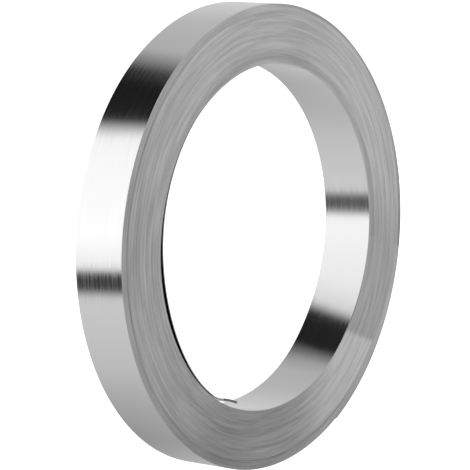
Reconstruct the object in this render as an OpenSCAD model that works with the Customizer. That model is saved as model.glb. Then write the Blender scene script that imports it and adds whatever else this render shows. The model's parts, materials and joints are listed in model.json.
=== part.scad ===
// Coil of nickel-plated steel strip, lying on one of its wound ends.
// The strip is wound tight on a round mandrel, so the coil is one turned ring with a true bore.
// Every turn shows on both ends as a narrow land between two grooves.
// The origin is the centre of the bore on the plane that the coil lies on, and +Z is up along the axis.

/* [Strip] */
// Width of the strip
strip_width = 8; // [4:0.5:20]
// Thickness of the strip
strip_thickness = 0.15; // [0.1:0.01:0.3]
// Length of the strip in metres
strip_length = 10; // [4:0.5:20]
// Chamfer that slitting leaves along the edges of the strip
edge_chamfer = 0.03; // [0.01:0.005:0.04]

/* [Winding] */
// Diameter of the bore
bore_d = 50; // [30:1:80]
// Air between neighbouring turns
turn_gap = 0.006; // [0:0.001:0.02]
// Furthest that a turn strays sideways from the lowest one
turn_stray = 0.08; // [0:0.01:0.2]
// Turns in each of the two groups that lie looser on the outside
outer_group = 4; // [1:1:10]
// Depth of the groove on the inner side of such a group
group_groove = 0.1; // [0.05:0.01:0.3]

/* [Strip ends] */
// Direction of the inner end, anticlockwise from +X as seen from above
inner_end_at = 251; // [0:1:359]
// Direction of the outer end, counted in the same way
outer_end_at = 300; // [0:1:359]
// Arc past each end over which the winding comes back to the round
end_fade = 60; // [30:5:80]

/* [Hidden] */
mm_per_m = 1000;
bore_r = bore_d / 2;
turn_pitch = strip_thickness + turn_gap;
coil_d = sqrt(pow(bore_d, 2) + 4 * strip_length * mm_per_m * turn_pitch / PI);
coil_r = coil_d / 2;
turns = round((coil_r - bore_r) / turn_pitch);
land_pitch = (coil_r - bore_r) / turns;
fade_offset = land_pitch / (1 - cos(end_fade));
stray_wave = 47;
stray_ripple = 131;
ripple_share = 0.3;
cut_from = -strip_width;
cut_height = 3 * strip_width;
$fn = 180;

// Radius at which a turn begins
function turn_r(i) = bore_r + i * land_pitch;

// Sideways place of a turn: a wave from turn to turn, with a shorter ripple on it
function stray(i) =
    turn_stray / 2
    * (1 + (1 - ripple_share) * sin(stray_wave * i) + ripple_share * sin(stray_ripple * i));

// Height of a turn's land on the upper end
function upper(i) = strip_width + stray(min(max(i, 0), turns - 1));

// Height of a turn's land on the lower end
function lower(i) = stray(min(max(i, 0), turns - 1));

// Depth of the groove on the inner side of a turn
function groove(i) =
    i == turns - outer_group || i == turns - 2 * outer_group ? group_groove : edge_chamfer;

// Half section of the winding, with a land and a groove for every turn
module winding_section() {
    upper_line = [
        for (i = [0 : turns - 1]) each [
            [turn_r(i), min(upper(i - 1), upper(i)) - groove(i)],
            [turn_r(i) + edge_chamfer, upper(i)],
            [turn_r(i + 1) - edge_chamfer, upper(i)]
        ]
    ];
    lower_line = [
        for (i = [turns : -1 : 1]) each [
            [turn_r(i), max(lower(i - 1), lower(i)) + groove(i)],
            [turn_r(i) - edge_chamfer, lower(i - 1)],
            [turn_r(i - 1) + edge_chamfer, lower(i - 1)]
        ]
    ];
    polygon(concat(
        upper_line,
        [[coil_r, upper(turns) - edge_chamfer]],
        lower_line,
        [[bore_r, lower(0) + edge_chamfer]]
    ));
}

// Hollow past the inner end, one turn deep at the end and fading into the bore
module inner_step() {
    intersection() {
        translate([0, 0, cut_from])
            cube([coil_d, coil_d, cut_height]);
        translate([fade_offset, 0, cut_from])
            cylinder(r = bore_r + land_pitch - fade_offset, h = cut_height);
    }
}

// Hollow past the outer end, one turn deep at the end and fading into the rim
module outer_step() {
    difference() {
        translate([0, -coil_d, cut_from])
            cube([coil_d, coil_d, cut_height]);
        translate([-fade_offset, 0, cut_from])
            cylinder(r = coil_r - land_pitch + fade_offset, h = cut_height);
    }
}

// The whole coil, one piece of strip
module strip_coil() {
    color("silver")
        difference() {
            rotate_extrude() winding_section();
            rotate(inner_end_at) inner_step();
            rotate(outer_end_at) outer_step();
        }
}

strip_coil();
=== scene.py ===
import json
import math
import bpy
import numpy as np
from mathutils import Matrix, Vector


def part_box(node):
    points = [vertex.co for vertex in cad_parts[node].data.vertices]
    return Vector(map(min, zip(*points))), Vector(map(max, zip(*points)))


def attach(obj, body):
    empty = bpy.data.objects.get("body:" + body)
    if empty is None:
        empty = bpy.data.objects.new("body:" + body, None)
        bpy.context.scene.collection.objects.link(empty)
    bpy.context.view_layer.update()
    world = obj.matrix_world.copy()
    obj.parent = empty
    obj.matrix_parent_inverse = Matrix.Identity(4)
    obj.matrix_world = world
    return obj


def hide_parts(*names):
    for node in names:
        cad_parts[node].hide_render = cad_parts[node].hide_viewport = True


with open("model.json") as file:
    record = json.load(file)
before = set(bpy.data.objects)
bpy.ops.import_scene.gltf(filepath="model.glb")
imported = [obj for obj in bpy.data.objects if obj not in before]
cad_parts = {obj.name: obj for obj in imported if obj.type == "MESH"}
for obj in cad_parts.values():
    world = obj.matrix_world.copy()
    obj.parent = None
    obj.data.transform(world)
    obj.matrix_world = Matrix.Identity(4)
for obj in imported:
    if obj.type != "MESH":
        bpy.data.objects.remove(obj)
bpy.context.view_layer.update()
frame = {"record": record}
mm = 0.001                     # in metres
upward = (0.0, 0.0, 1.0)       # along the coil's axis
inPlane = (1.0, 1.0, 0.0)      # keeps what lies in the plane of the ring
white = (1.0, 1.0, 1.0, 1.0)
print("frame loaded")


# helpers for meshes

def gridQuads(rows, columns):
    # quads between neighbouring rows of a grid whose columns close into a loop
    row, column = np.meshgrid(np.arange(rows - 1), np.arange(columns), indexing="ij")
    nextColumn = (column + 1) % columns
    corners = [row * columns + column, row * columns + nextColumn,
               (row + 1) * columns + nextColumn, (row + 1) * columns + column]
    return np.stack(corners, axis=-1).reshape(-1, 4)


def smoothStep(low, high, value):
    # 0 below low, 1 above high, an S curve between
    share = np.clip((value - low) / (high - low), 0.0, 1.0)
    return share * share * (3.0 - 2.0 * share)


def raisedCosine(value):
    # 1 at nought, falling to 0 at one
    return 0.5 + 0.5 * np.cos(math.pi * np.clip(np.abs(value), 0.0, 1.0))


def awayFrom(centre, direction):
    # degrees from a centre to a direction in radians, the short way round
    return (np.degrees(direction) - centre + 180.0) % 360.0 - 180.0


# helpers for node trees

def addNode(tree, kind, **settings):
    node = tree.nodes.new(kind)
    for name, value in settings.items():
        setattr(node, name, value)
    return node


def feed(tree, sockets, values):
    # numbers and vectors are set on their sockets, outputs of other nodes are linked
    for socket, value in zip(sockets, values):
        if isinstance(value, bpy.types.NodeSocket):
            tree.links.new(value, socket)
        else:
            socket.default_value = value


def mathNode(tree, operation, *values):
    node = addNode(tree, "ShaderNodeMath", operation=operation)
    feed(tree, node.inputs, values)
    return node.outputs[0]


def vectorNode(tree, operation, *values):
    node = addNode(tree, "ShaderNodeVectorMath", operation=operation)
    feed(tree, node.inputs, values)
    return node.outputs["Value" if operation in ("LENGTH", "DOT_PRODUCT") else "Vector"]


def scaleNode(tree, vector, factor):
    node = addNode(tree, "ShaderNodeVectorMath", operation="SCALE")
    feed(tree, (node.inputs[0], node.inputs["Scale"]), (vector, factor))
    return node.outputs[0]


def joinNode(tree, *values):
    node = addNode(tree, "ShaderNodeCombineXYZ")
    feed(tree, node.inputs, values)
    return node.outputs[0]


def splitNode(tree, vector):
    node = addNode(tree, "ShaderNodeSeparateXYZ")
    feed(tree, node.inputs, (vector,))
    return node.outputs


def stepNode(tree, value, low, high):
    # 0 at low, 1 at high, an S curve between
    node = addNode(tree, "ShaderNodeMapRange", interpolation_type="SMOOTHSTEP")
    feed(tree, node.inputs, (value, low, high))
    return node.outputs["Result"]


def noiseNode(tree, place, detail):
    node = addNode(tree, "ShaderNodeTexNoise")
    node.inputs["Scale"].default_value = 1.0
    node.inputs["Detail"].default_value = detail
    tree.links.new(place, node.inputs["Vector"])
    return node.outputs["Fac"]


def swing(tree, noise):
    # noise from 0 to 1 made to swing either way from nought
    return mathNode(tree, "SUBTRACT", noise, 0.5)


def mixColours(tree, share, first, second):
    node = addNode(tree, "ShaderNodeMix", data_type="RGBA")
    sockets = [socket for socket in node.inputs if socket.enabled]
    feed(tree, sockets, (share, first, second))
    return node.outputs["Result"]


def newMaterial(name):
    material = bpy.data.materials.new(name)
    material.use_nodes = True
    shader = material.node_tree.nodes["Principled BSDF"]
    return material, material.node_tree, shader


# the wound strip

coil = dict(
    wholeTurns=54,          # full turns from the inner end
    innerEnd=251.0,         # direction of the inner end, degrees
    outerEnd=300.0,         # direction of the outer end
    width=8.0,              # of the strip, mm
    thickness=0.15,         # of the strip, mm
    chamfer=0.02,           # of its slit edges, mm
    segments=180,           # steps in one turn
    sharpAngle=30.0,        # between faces from which an edge is sharp, degrees
    strayWave=47.0,         # degrees of wander for each turn
    strayRipple=131.0,
    rippleShare=0.3,
    innerSlack=0.1,         # by which the innermost turn stands inside the bore, mm
    hem=3.4,                # length of the inner end that is folded back on itself, mm
    hemStep=0.0001,         # turns over which the folded-back part ends
    hemFold=0.19,           # room that the folded-back part takes, mm
    flickLift=0.55,         # of the folded end, mm
    flickReach=(3.0, 12.5),  # degrees from the end over which the flick closes
    looseLift=0.15,         # of the first stretch of the innermost turn, mm
    looseReach=(90.0, 140.0),  # degrees from the end over which it lies down
    bows=((52.0, 46.0, 0.6), (282.0, 22.0, 0.1)),  # degrees from the end, reach and lift in mm
    # stretches where the bore is out of round: direction, degrees to each side, mm and the first turn
    sags=((264.0, 40.0, 0.24, 0.0), (213.0, 45.0, 0.19, 1.0)),
    sagStart=0.3,           # turns over which a sag begins
    sagTurns=24.0,          # turns over which it dies away
    # stretches where every turn stands out: direction, degrees to each side and mm
    bulges=((137.0, 26.0, 0.15), (300.0, 20.0, 0.08)),
    groups=((3.6, 0.02), (7.4, 0.04), (8.4, 0.05)),  # turns from the outside and the air there, mm
    groupSide=215.0,        # direction in which the groups stand off most
    groupStep=0.2,          # turns to each side over which a group stands off there
    groupSpread=(26.0, 2.0),  # turns before and after, over which it does so on the other side
)


def innerLift(fromEnd):
    # how far the innermost turn stands off the winding: a flick, a loose stretch and two bows
    lift = coil["flickLift"] * (1.0 - smoothStep(*coil["flickReach"], fromEnd))
    lift += coil["looseLift"] * (1.0 - smoothStep(*coil["looseReach"], fromEnd))
    for centre, reach, height in coil["bows"]:
        lift += height * raisedCosine((fromEnd - centre) / reach)
    return lift * mm


def windingPath(room):
    # radius = bore + pitch times turns, less the lift of the innermost turn
    total = coil["wholeTurns"] + ((coil["innerEnd"] - coil["outerEnd"]) % 360.0) / 360.0
    count = int(round(total * coil["segments"]))
    start = room["bore"] - coil["innerSlack"] * mm
    hemTurn = coil["hem"] * mm / (2.0 * math.pi * start)
    turn = np.linspace(0.0, total, count + 1)
    turn = np.sort(np.concatenate([turn, [hemTurn, hemTurn + coil["hemStep"]]]))
    direction = np.radians(coil["innerEnd"] - 360.0 * turn)
    air = sum(gap for back, gap in coil["groups"]) * mm
    wall = room["rim"] - start - coil["thickness"] * mm - air
    radius = start + wall / total * turn - innerLift(360.0 * turn)
    # the bore sags in places, less and less from turn to turn
    fading = np.clip(1.0 - turn / coil["sagTurns"], 0.0, 1.0)
    for centre, reach, lift, firstTurn in coil["sags"]:
        begun = smoothStep(firstTurn - coil["sagStart"], firstTurn, turn)
        radius -= lift * mm * raisedCosine(awayFrom(centre, direction) / reach) * fading * begun
    # the whole wall bulges in places
    for centre, reach, lift in coil["bulges"]:
        radius += lift * mm * raisedCosine(awayFrom(centre, direction) / reach)
    # a group stands off in one step on its loose side and little by little on the other
    facing = 0.5 + 0.5 * np.cos(direction - math.radians(coil["groupSide"]))
    before, after = coil["groupSpread"]
    for back, gap in coil["groups"]:
        edgeTurn = total - back
        step = smoothStep(edgeTurn - coil["groupStep"], edgeTurn + coil["groupStep"], turn)
        spread = smoothStep(edgeTurn - before, edgeTurn + after, turn)
        radius += gap * mm * (facing * step + (1.0 - facing) * spread)
    # height = a wave from turn to turn with a shorter ripple on it, within the room
    wave = (1.0 - coil["rippleShare"]) * np.sin(np.radians(coil["strayWave"] * turn))
    ripple = coil["rippleShare"] * np.sin(np.radians(coil["strayRipple"] * turn))
    height = room["bottom"] + 0.5 * room["stray"] * (1.0 + wave + ripple)
    hemmed = turn <= hemTurn
    return direction, radius, height, hemmed


def stripProfile():
    # section of the strip as depth through it and height across it, with chamfered corners
    cut, thick, wide = coil["chamfer"], coil["thickness"], coil["width"]
    outline = [(0, cut), (cut, 0), (thick - cut, 0), (thick, cut),
               (thick, wide - cut), (thick - cut, wide), (cut, wide), (0, wide - cut)]
    return np.array(outline) * mm


def stripCoordinates(direction, radius, sides):
    # metres along the strip = sum of radius times turning, metres round its section = sum of its sides
    along = np.concatenate([[0.0], np.cumsum(-np.diff(direction) * 0.5 * (radius[1:] + radius[:-1]))])
    around = np.concatenate([[0.0], np.cumsum(sides)])
    row, column = np.divmod(np.arange((len(along) - 1) * len(sides)), len(sides))
    alongCorners = along[np.stack([row + 1, row + 1, row, row], axis=1)]
    aroundCorners = around[np.stack([column, column + 1, column + 1, column], axis=1)]
    return np.stack([alongCorners, aroundCorners], axis=-1).reshape(-1, 2), along[-1]


def buildStrip(room):
    # the section carried along the winding: x and y from radius and direction, z from the height
    direction, radius, height, hemmed = windingPath(room)
    profile = stripProfile()
    inner = profile[:, 0] < 0.5 * coil["thickness"] * mm
    fold = np.where(hemmed, coil["hemFold"] * mm, 0.0)  # the folded end is two strips thick
    reach = radius[:, None] + profile[None, :, 0] - fold[:, None] * inner[None, :]
    points = np.stack([reach * np.cos(direction)[:, None],
                       reach * np.sin(direction)[:, None],
                       height[:, None] + profile[None, :, 1]], axis=-1)
    rows, columns = points.shape[:2]
    quads = gridQuads(rows, columns)[:, ::-1]
    firstCap = np.arange(columns)[::-1]
    lastCap = (rows - 1) * columns + np.arange(columns)
    faces = quads.tolist() + [firstCap.tolist(), lastCap.tolist()]
    mesh = bpy.data.meshes.new("woundStrip")
    mesh.from_pydata(points.reshape(-1, 3).tolist(), [], faces)
    sides = np.linalg.norm(np.roll(profile, -1, axis=0) - profile, axis=1)
    uv, length = stripCoordinates(direction, radius, sides)
    uv = np.concatenate([uv, np.zeros((2 * columns, 2))])  # the caps are too small for a pattern
    mesh.uv_layers.new(name="strip").data.foreach_set("uv", uv.astype(np.float32).ravel())
    # the two wide sides are plated faces in slot 0, the rest are slit edges in slot 1
    plated = np.tile(sides > 0.5 * coil["width"] * mm, rows - 1)
    slots = np.concatenate([np.where(plated, 0, 1), [1, 1]])
    mesh.polygons.foreach_set("material_index", slots.astype(np.int32))
    mesh.polygons.foreach_set("use_smooth", np.ones(len(slots), dtype=bool))
    mesh.set_sharp_from_angle(angle=math.radians(coil["sharpAngle"]))
    mesh.update()
    strip = bpy.data.objects.new("woundStrip", mesh)
    bpy.context.scene.collection.objects.link(strip)
    print("strip wound:", rows, "sections,", len(mesh.polygons), "faces,", round(length, 3), "m")
    return strip


# what both finishes use

lineDetail = 2.0            # layers of noise in a streak


def rollingLines():
    # node group: streaks that follow the strip's own coordinates
    group = bpy.data.node_groups.new("rollingLines", "ShaderNodeTree")
    for name in ("Line Width", "Line Length"):
        group.interface.new_socket(name=name, in_out="INPUT", socket_type="NodeSocketFloat")
    group.interface.new_socket(name="Streak", in_out="OUTPUT", socket_type="NodeSocketFloat")
    inside = addNode(group, "NodeGroupInput")
    outside = addNode(group, "NodeGroupOutput")
    split = splitNode(group, addNode(group, "ShaderNodeUVMap", uv_map="strip").outputs["UV"])
    along = mathNode(group, "DIVIDE", split["X"], inside.outputs["Line Length"])
    across = mathNode(group, "DIVIDE", split["Y"], inside.outputs["Line Width"])
    noise = noiseNode(group, joinNode(group, along, across), lineDetail)
    group.links.new(noise, outside.inputs["Streak"])
    return group


def streakNode(tree, lines, width, length):
    # streaks of this width and length in mm
    node = addNode(tree, "ShaderNodeGroup", node_tree=lines)
    node.inputs["Line Width"].default_value = width * mm
    node.inputs["Line Length"].default_value = length * mm
    return swing(tree, node.outputs["Streak"])


def placeOnCoil(tree):
    # place in the plane of the ring, direction outward from the axis, and x, y and z apart
    place = addNode(tree, "ShaderNodeTexCoord").outputs["Object"]
    flat = vectorNode(tree, "MULTIPLY", place, inPlane)
    return flat, vectorNode(tree, "NORMALIZE", flat), splitNode(tree, place)


def towards(tree, outward, side):
    # how much the direction outward agrees with a side of the ring, given as x and y
    return vectorNode(tree, "DOT_PRODUCT", outward, (*side, 0.0))


# plated faces

plate = dict(
    colour=(0.74, 0.74, 0.74),
    roughness=0.12,
    roughnessSpread=0.22,
    lineWidth=0.22,         # of a rolling line, mm
    lineLength=9.0,         # of a rolling line, mm
    tilt=0.012,             # slope along the strip that the lines differ by
    # stretches where the strip is wound with a twist: direction, degrees to each side, twist in degrees
    twists=((322.0, 36.0, -2.9), (12.0, 24.0, 1.2), (126.0, 18.0, 1.4), (188.0, 60.0, -1.0)),
)


def twistLean(tree, room):
    # slope along the strip = twist times the distance from its middle, as a share of its width
    _, outward, split = placeOnCoil(tree)
    middle = room["bottom"] + 0.5 * (room["stray"] + coil["width"] * mm)
    across = mathNode(tree, "SUBTRACT", split["Z"], middle)
    across = mathNode(tree, "DIVIDE", across, coil["width"] * mm)
    lean = 0.0
    for direction, reach, twist in plate["twists"]:
        centre = (math.cos(math.radians(direction)), math.sin(math.radians(direction)))
        mask = stepNode(tree, towards(tree, outward, centre), math.cos(math.radians(reach)), 1.0)
        lean = mathNode(tree, "MULTIPLY_ADD", mask, math.radians(twist), lean)
    return mathNode(tree, "MULTIPLY", lean, across)


def platedFace(lines, room):
    # bright nickel: lines and twists tilt the shading, so reflections end ragged and slanted
    material, tree, shader = newMaterial("nickelPlate")
    streak = streakNode(tree, lines, plate["lineWidth"], plate["lineLength"])
    rough = mathNode(tree, "MULTIPLY_ADD", streak, plate["roughnessSpread"], plate["roughness"])
    tree.links.new(rough, shader.inputs["Roughness"])
    normal = addNode(tree, "ShaderNodeNewGeometry").outputs["Normal"]
    tangent = vectorNode(tree, "CROSS_PRODUCT", normal, upward)
    slope = mathNode(tree, "MULTIPLY_ADD", streak, plate["tilt"], twistLean(tree, room))
    leaning = vectorNode(tree, "ADD", normal, scaleNode(tree, tangent, slope))
    tree.links.new(vectorNode(tree, "NORMALIZE", leaning), shader.inputs["Normal"])
    shader.inputs["Base Color"].default_value = (*plate["colour"], 1.0)
    shader.inputs["Metallic"].default_value = 1.0
    return material


# slit edges

edge = dict(
    light=(0.68, 0.68, 0.68),
    dark=(0.45, 0.45, 0.45),
    roughness=0.32,
    toneRange=0.4,          # swing of the noise at which an edge is quite dark or quite light
    patchLength=9.0,        # of a lighter or darker stretch of one turn, mm
    patchWidth=1000.0,      # far more than the strip has, so that a turn has one tone across, mm
    patchShare=0.55,        # how much such a stretch counts
    ringWidth=0.52,         # of a lighter or darker ring of turns, mm
    ringTurn=3.4,           # how often a ring changes on its way round
    ringDetail=3.0,         # layers of noise in the rings
    ringShare=1.06,         # how much a ring counts
    plainSide=(0.5, 0.87),  # direction in which the turns differ least and the painted shade beside the bore is darkest
    plainness=0.2,          # share of the tones that is gone there
    paintedBoreShadeBand=(1.9, 0.7),   # depth beside the bore over which painted shade darkens the turns, mm
    paintedBoreShadeEdge=(0.7, 0.1),   # depth over which the painted shade lifts again, mm
    paintedBoreShadeReturn=0.5,        # share of the painted shade that is gone at the very edge
    paintedBoreShadeReach=(-0.1, 0.6),  # cosine from the plain side over which the painted shade comes in
    paintedBoreShadeStrength=0.22,
    paintedRimShadeBand=(0.75, 0.15),  # depth inside the rim over which painted shade darkens the turns, mm
    paintedRimShadeStrength=0.3,
    paintedRimShadeSide=(0.82, 0.57),  # direction in which the painted shade at the rim is darkest
    paintedRimShadeReach=(0.45, 0.75),  # cosine from that direction over which the painted shade comes in
    paintedRimShadeElsewhere=0.2,     # share of the painted shade on the other side
    paintedGapShadeRings=((1.36, 0.55, 0.2), (2.8, 0.6, 0.1), (4.0, 0.5, 0.06)),  # painted shade in the gaps between turns: depth, half width, darkening
    paintedGapShadeGroup=(1.5, 1.1),  # depth over which painted shade darkens the outer group, mm
    paintedGapShadeStrength=0.06,
    paintedGapShadeSide=(-0.966, 0.259),  # direction in which the painted gap shade shows most
    looseReach=(0.6, 0.95),  # cosine from that direction over which they come to show
    paintedGapShadeSlant=(0.05, -0.3),  # how much deeper they lie in each direction, mm
    paintedEndShadeStretch=(13.0, 3.2),  # of strip over which painted shade darkens it towards the inner end, mm
    paintedEndShadeStrength=0.48,
    paintedHighlightFrom=(20.0, -16.4),  # edge of the painted highlight, where the edges catch the light, mm
    paintedHighlightTo=(26.9, -19.0),
    paintedHighlightFade=(4.0, 17.5),  # x over which it grows bright, mm
    paintedHighlightGain=0.45,
    paintedHighlightBrim=(1.8, 1.0),  # depth inside the rim over which it dies away, mm
    paintedHighlightLoss=0.6,         # share of it that is gone at the rim
    paintedHighlightCalm=0.4,         # share of the turns' tones that is gone there
    paintedHighlightStray=0.9,        # how far its edge wanders from turn to turn, mm
    paintedHighlightDetail=1.0,       # layers of noise in that wandering
    paintedHighlightSoft=0.5,         # half the width of its edge, mm
    paintedSheenFrom=(25.8, -2.61),  # edge of the painted sheen above it, a brighter painted reflection, mm
    paintedSheenTo=(32.3, -4.65),
    paintedSheenSoft=0.2,           # half the width of that edge, mm
    paintedSheenSide=(5.0, 15.0),   # x over which the painted sheen begins, mm
    paintedSheenRimBand=(1.8, 1.0),    # depth inside the rim over which it grows bright, mm
    paintedSheenGain=0.13,
)


def changed(tree, gain, mask, change):
    # gain times one plus the change, where the mask is 1
    return mathNode(tree, "MULTIPLY", gain, mathNode(tree, "MULTIPLY_ADD", mask, change, 1.0))


def both(tree, mask, other):
    # the part that two masks share
    return mathNode(tree, "MULTIPLY", mask, other)


def without(tree, mask, other):
    # the part of a mask that lies outside another
    return mathNode(tree, "MULTIPLY", mask, mathNode(tree, "SUBTRACT", 1.0, other))


def inBand(tree, depth, band):
    # 0 at the first depth of the band, 1 at the second, both in mm
    return stepNode(tree, depth, band[0] * mm, band[1] * mm)


def pastLine(tree, place, ends, stray, soft):
    # 1 to the right of a line across the wall, seen along it from the first of its ends
    first, last = (Vector((*end, 0.0)) * mm for end in ends)
    rightward = (last - first).normalized().cross(Vector(upward))
    offset = vectorNode(tree, "SUBTRACT", place, tuple(first))
    depth = mathNode(tree, "ADD", vectorNode(tree, "DOT_PRODUCT", offset, tuple(rightward)), stray)
    return stepNode(tree, depth, -soft * mm, soft * mm)


def paintedHighlightParts(tree, flat, across, ring, fromRim):
    # the painted highlight where the edges catch the light, and the painted sheen above it
    wander = swing(tree, noiseNode(tree, joinNode(tree, 0.0, 0.0, ring), edge["paintedHighlightDetail"]))
    wander = mathNode(tree, "MULTIPLY", wander, edge["paintedHighlightStray"] * mm)
    below = pastLine(tree, flat, (edge["paintedHighlightFrom"], edge["paintedHighlightTo"]), wander, edge["paintedHighlightSoft"])
    paintedSheen = pastLine(tree, flat, (edge["paintedSheenFrom"], edge["paintedSheenTo"]), 0.0, edge["paintedSheenSoft"])
    paintedSheen = both(tree, paintedSheen, inBand(tree, across, edge["paintedSheenSide"]))
    fade = inBand(tree, across, edge["paintedHighlightFade"])
    fade = changed(tree, fade, inBand(tree, fromRim, edge["paintedHighlightBrim"]), -edge["paintedHighlightLoss"])
    return both(tree, below, fade), without(tree, paintedSheen, below)


def edgeTone(tree, lines, outward, ring, facing, paintedHighlight):
    # each turn and each ring of turns has its own tone, less so on the plain side and under the painted
    # highlight
    turning = vectorNode(tree, "MULTIPLY", outward, (edge["ringTurn"], edge["ringTurn"], 0.0))
    ringPlace = vectorNode(tree, "ADD", turning, joinNode(tree, 0.0, 0.0, ring))
    rings = swing(tree, noiseNode(tree, ringPlace, edge["ringDetail"]))
    patches = streakNode(tree, lines, edge["patchWidth"], edge["patchLength"])
    tone = mathNode(tree, "MULTIPLY", patches, edge["patchShare"])
    tone = mathNode(tree, "MULTIPLY_ADD", rings, edge["ringShare"], tone)
    tone = changed(tree, tone, facing, -edge["plainness"])
    tone = changed(tree, tone, paintedHighlight, -edge["paintedHighlightCalm"])
    shades = [(*edge[name], 1.0) for name in ("dark", "light")]
    return mixColours(tree, stepNode(tree, tone, -edge["toneRange"], edge["toneRange"]), *shades)


def paintGapShade(tree, gain, outward, fromRim):
    # painted shade in the gaps where turns lie looser on one side: darker rings, and a darker outermost
    # group
    side = stepNode(tree, towards(tree, outward, edge["paintedGapShadeSide"]), *edge["looseReach"])
    slant = towards(tree, outward, [part * mm for part in edge["paintedGapShadeSlant"]])
    depth = mathNode(tree, "SUBTRACT", fromRim, slant)
    for centre, half, dulling in edge["paintedGapShadeRings"]:
        away = mathNode(tree, "ABSOLUTE", mathNode(tree, "SUBTRACT", depth, centre * mm))
        mask = both(tree, inBand(tree, away, (half, 0.0)), side)
        gain = changed(tree, gain, mask, -dulling)
    mask = both(tree, inBand(tree, depth, edge["paintedGapShadeGroup"]), side)
    return changed(tree, gain, mask, -edge["paintedGapShadeStrength"])


def slitEdge(lines, room):
    # sheared edges: toned by turn and ring, with a painted highlight on one side and painted shade at
    # bore, rim, gaps and inner end
    material, tree, shader = newMaterial("slitEdge")
    flat, outward, split = placeOnCoil(tree)
    radius = vectorNode(tree, "LENGTH", flat)
    ring = mathNode(tree, "DIVIDE", radius, edge["ringWidth"] * mm)
    facing = towards(tree, outward, edge["plainSide"])
    fromBore = mathNode(tree, "SUBTRACT", radius, room["bore"])
    fromRim = mathNode(tree, "SUBTRACT", room["rim"], radius)
    paintedHighlight, paintedSheen = paintedHighlightParts(tree, flat, split["X"], ring, fromRim)
    tone = edgeTone(tree, lines, outward, ring, facing, paintedHighlight)
    # painted highlight: the edges lighter where they catch the light
    gain = changed(tree, 1.0, paintedHighlight, edge["paintedHighlightGain"])
    # painted sheen: the rim lighter above the second line, a painted reflection
    paintedSheenBrim = both(tree, paintedSheen, inBand(tree, fromRim, edge["paintedSheenRimBand"]))
    gain = changed(tree, gain, paintedSheenBrim, edge["paintedSheenGain"])
    # painted shade on the turns beside the bore, which lifts again at its very edge
    bore = inBand(tree, fromBore, edge["paintedBoreShadeBand"])
    bore = changed(tree, bore, inBand(tree, fromBore, edge["paintedBoreShadeEdge"]), -edge["paintedBoreShadeReturn"])
    bore = both(tree, bore, stepNode(tree, facing, *edge["paintedBoreShadeReach"]))
    gain = changed(tree, gain, without(tree, bore, paintedSheen), -edge["paintedBoreShadeStrength"])
    # painted shade on the turns at the rim, darker on one side
    side = stepNode(tree, towards(tree, outward, edge["paintedRimShadeSide"]), *edge["paintedRimShadeReach"])
    share = mathNode(tree, "MULTIPLY_ADD", side, 1.0 - edge["paintedRimShadeElsewhere"], edge["paintedRimShadeElsewhere"])
    rim = both(tree, inBand(tree, fromRim, edge["paintedRimShadeBand"]), share)
    gain = changed(tree, gain, without(tree, rim, paintedSheen), -edge["paintedRimShadeStrength"])
    # painted shade in the gaps between looser turns
    gain = paintGapShade(tree, gain, outward, fromRim)
    # painted shade darkens the strip towards its folded end
    along = splitNode(tree, addNode(tree, "ShaderNodeUVMap", uv_map="strip").outputs["UV"])["X"]
    gain = changed(tree, gain, inBand(tree, along, edge["paintedEndShadeStretch"]), -edge["paintedEndShadeStrength"])
    tree.links.new(scaleNode(tree, tone, gain), shader.inputs["Base Color"])
    shader.inputs["Roughness"].default_value = edge["roughness"]
    shader.inputs["Metallic"].default_value = 1.0
    return material


# studio

studio = dict(
    # tiers of panels round the coil: from and to in degrees, brightness at both ends
    lowTier=[(0, 30, 0.70, 0.69), (46, 72, 0.60, 0.55), (88, 120.3, 0.01, 0.02),
             (130.8, 178, 1.28, 1.38), (187, 193.4, 1.25, 1.18), (197.2, 204.3, 0.04, 0.04),
             (208.8, 246, 0.79, 0.67), (262, 300, 0.54, 0.31), (338, 352, 0.28, 0.56)],
    middleTier=[(0, 30, 0.74, 0.68), (50, 85.4, 0.60, 0.57), (99.6, 121.9, 0.02, 0.02),
                (128.2, 137, 0.80, 0.94), (145, 189, 1.06, 1.22), (194, 202, 0.135, 0.135),
                (208, 250, 0.80, 0.69), (270, 298, 0.63, 0.69), (322, 360, 0.83, 0.80)],
    highTier=[(2, 24, 1.15, 1.00), (60, 200, 0.62, 0.60), (222, 292, 0.97, 0.92),
              (320, 338, 0.00, 0.06)],
    lowRise=(-0.64, -0.54),  # heights between which the low tier gives way to the middle one
    highRise=(-0.10, 0.10),  # and the middle one to the high one
    floorGlow=0.90,
    floorColour=0.80,
    floorRoughness=0.9,
    floorSize=4.0,          # m
)


def panelRamp(tree, direction, panels):
    # brightness by direction round the axis: even along a panel, soft between two panels
    stops = [(angle, bright) for panel in panels for angle, bright in (panel[0::2], panel[1::2])]
    if stops[0][0] > 0:  # carry the ramp over the full turn
        span = stops[0][0] + 360.0 - stops[-1][0]
        share = (360.0 - stops[-1][0]) / span
        level = stops[-1][1] + share * (stops[0][1] - stops[-1][1])
        stops = [(0.0, level)] + stops + [(360.0, level)]
    ramp = addNode(tree, "ShaderNodeValToRGB")
    elements = ramp.color_ramp.elements
    while len(elements) < len(stops):
        elements.new(1.0)
    for element, (angle, bright) in zip(elements, stops):
        element.position = angle / 360.0
        element.color = (bright, bright, bright, 1.0)
    tree.links.new(direction, ramp.inputs["Fac"])
    return ramp.outputs["Color"]


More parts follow.
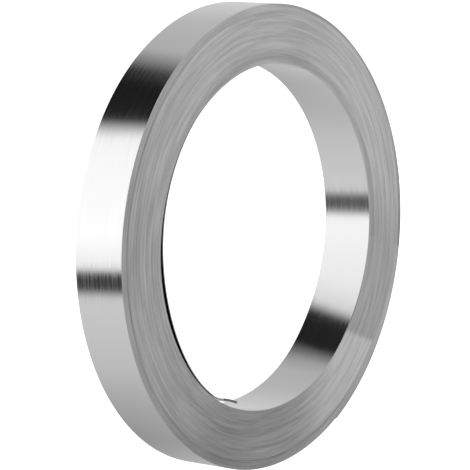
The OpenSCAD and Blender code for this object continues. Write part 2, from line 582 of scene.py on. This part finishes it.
def buildStudio():
    # panels for what the metal reflects, plain white for what the camera sees past it
    world = bpy.data.worlds.new("studio")
    bpy.context.scene.world = world
    world.use_nodes = True
    tree = world.node_tree
    split = splitNode(tree, addNode(tree, "ShaderNodeTexCoord").outputs["Generated"])
    angle = mathNode(tree, "ARCTAN2", split["Y"], split["X"])
    direction = mathNode(tree, "FRACT", mathNode(tree, "DIVIDE", angle, 2.0 * math.pi))
    low, middle, high = (panelRamp(tree, direction, studio[name])
                         for name in ("lowTier", "middleTier", "highTier"))
    panels = mixColours(tree, stepNode(tree, split["Z"], *studio["lowRise"]), low, middle)
    panels = mixColours(tree, stepNode(tree, split["Z"], *studio["highRise"]), panels, high)
    ray = addNode(tree, "ShaderNodeLightPath")
    seen = mixColours(tree, ray.outputs["Is Camera Ray"], panels, white)
    tree.links.new(seen, tree.nodes["Background"].inputs["Color"])
    print("studio panels set")


def buildFloor():
    half = studio["floorSize"] / 2.0
    corners = [(-half, -half, 0), (half, -half, 0), (half, half, 0), (-half, half, 0)]
    mesh = bpy.data.meshes.new("floor")
    mesh.from_pydata(corners, [], [(0, 1, 2, 3)])
    floor = bpy.data.objects.new("floor", mesh)
    bpy.context.scene.collection.objects.link(floor)
    material, _, shader = newMaterial("paleFloor")
    shader.inputs["Base Color"].default_value = (*[studio["floorColour"]] * 3, 1.0)
    shader.inputs["Roughness"].default_value = studio["floorRoughness"]
    shader.inputs["Specular IOR Level"].default_value = 0.0
    shader.inputs["Emission Color"].default_value = white
    shader.inputs["Emission Strength"].default_value = studio["floorGlow"]
    mesh.materials.append(material)
    floor.visible_glossy = False  # the bright metal shows the panels, not the floor beside it
    print("floor laid")


# camera

viewpoint = dict(
    azimuth=170.03,         # of the camera from +X round the axis, degrees
    elevation=36.0,         # above the plane of the upper end, degrees
    distance=392.8,         # from the centre of the upper end, mm
    aim=(-8.33, 1.36),      # point of the upper end's plane in the middle of the picture, mm
    lens=210.5,             # mm
    sensor=36.0,            # mm
    clip=(0.01, 20.0),      # nearest and furthest that it sees, m
)


def buildCamera(topHeight):
    # the picture's up lies along +Y, because the photo shows the coil on its rim
    azimuth, elevation = math.radians(viewpoint["azimuth"]), math.radians(viewpoint["elevation"])
    centre = Vector((0.0, 0.0, topHeight))
    outward = Vector((math.cos(elevation) * math.cos(azimuth),
                      math.cos(elevation) * math.sin(azimuth), math.sin(elevation)))
    place = centre + outward * viewpoint["distance"] * mm
    target = centre + Vector((*viewpoint["aim"], 0.0)) * mm
    back = (place - target).normalized()
    right = Vector((0.0, 1.0, 0.0)).cross(back).normalized()
    up = back.cross(right)
    data = bpy.data.cameras.new("camera")
    data.sensor_width = viewpoint["sensor"]
    data.lens = viewpoint["lens"]
    data.clip_start, data.clip_end = viewpoint["clip"]
    camera = bpy.data.objects.new("camera", data)
    camera.matrix_world = Matrix.Translation(place) @ Matrix((right, up, back)).transposed().to_4x4()
    bpy.context.scene.collection.objects.link(camera)
    bpy.context.scene.camera = camera
    print("camera placed")


# assembly

boreMount = next(mount for mount in frame["record"]["mounts"] if mount["name"] == "bore")
nodeLow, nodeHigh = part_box("strip_coil")
room = dict(  # that the winding has, m
    bore=boreMount["dims"]["r_mm"] * mm,
    rim=nodeHigh[1],
    bottom=nodeLow[2],
    stray=nodeHigh[2] - nodeLow[2] - coil["width"] * mm,
)

buildCamera(room["bottom"] + coil["width"] * mm + room["stray"] / 2.0)
strip = buildStrip(room)
lines = rollingLines()
strip.data.materials.append(platedFace(lines, room))
strip.data.materials.append(slitEdge(lines, room))
print("finishes made")
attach(strip, "root")
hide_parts("strip_coil")
buildStudio()
buildFloor()

look = bpy.context.scene.view_settings
look.view_transform = "Standard"
look.look = "None"
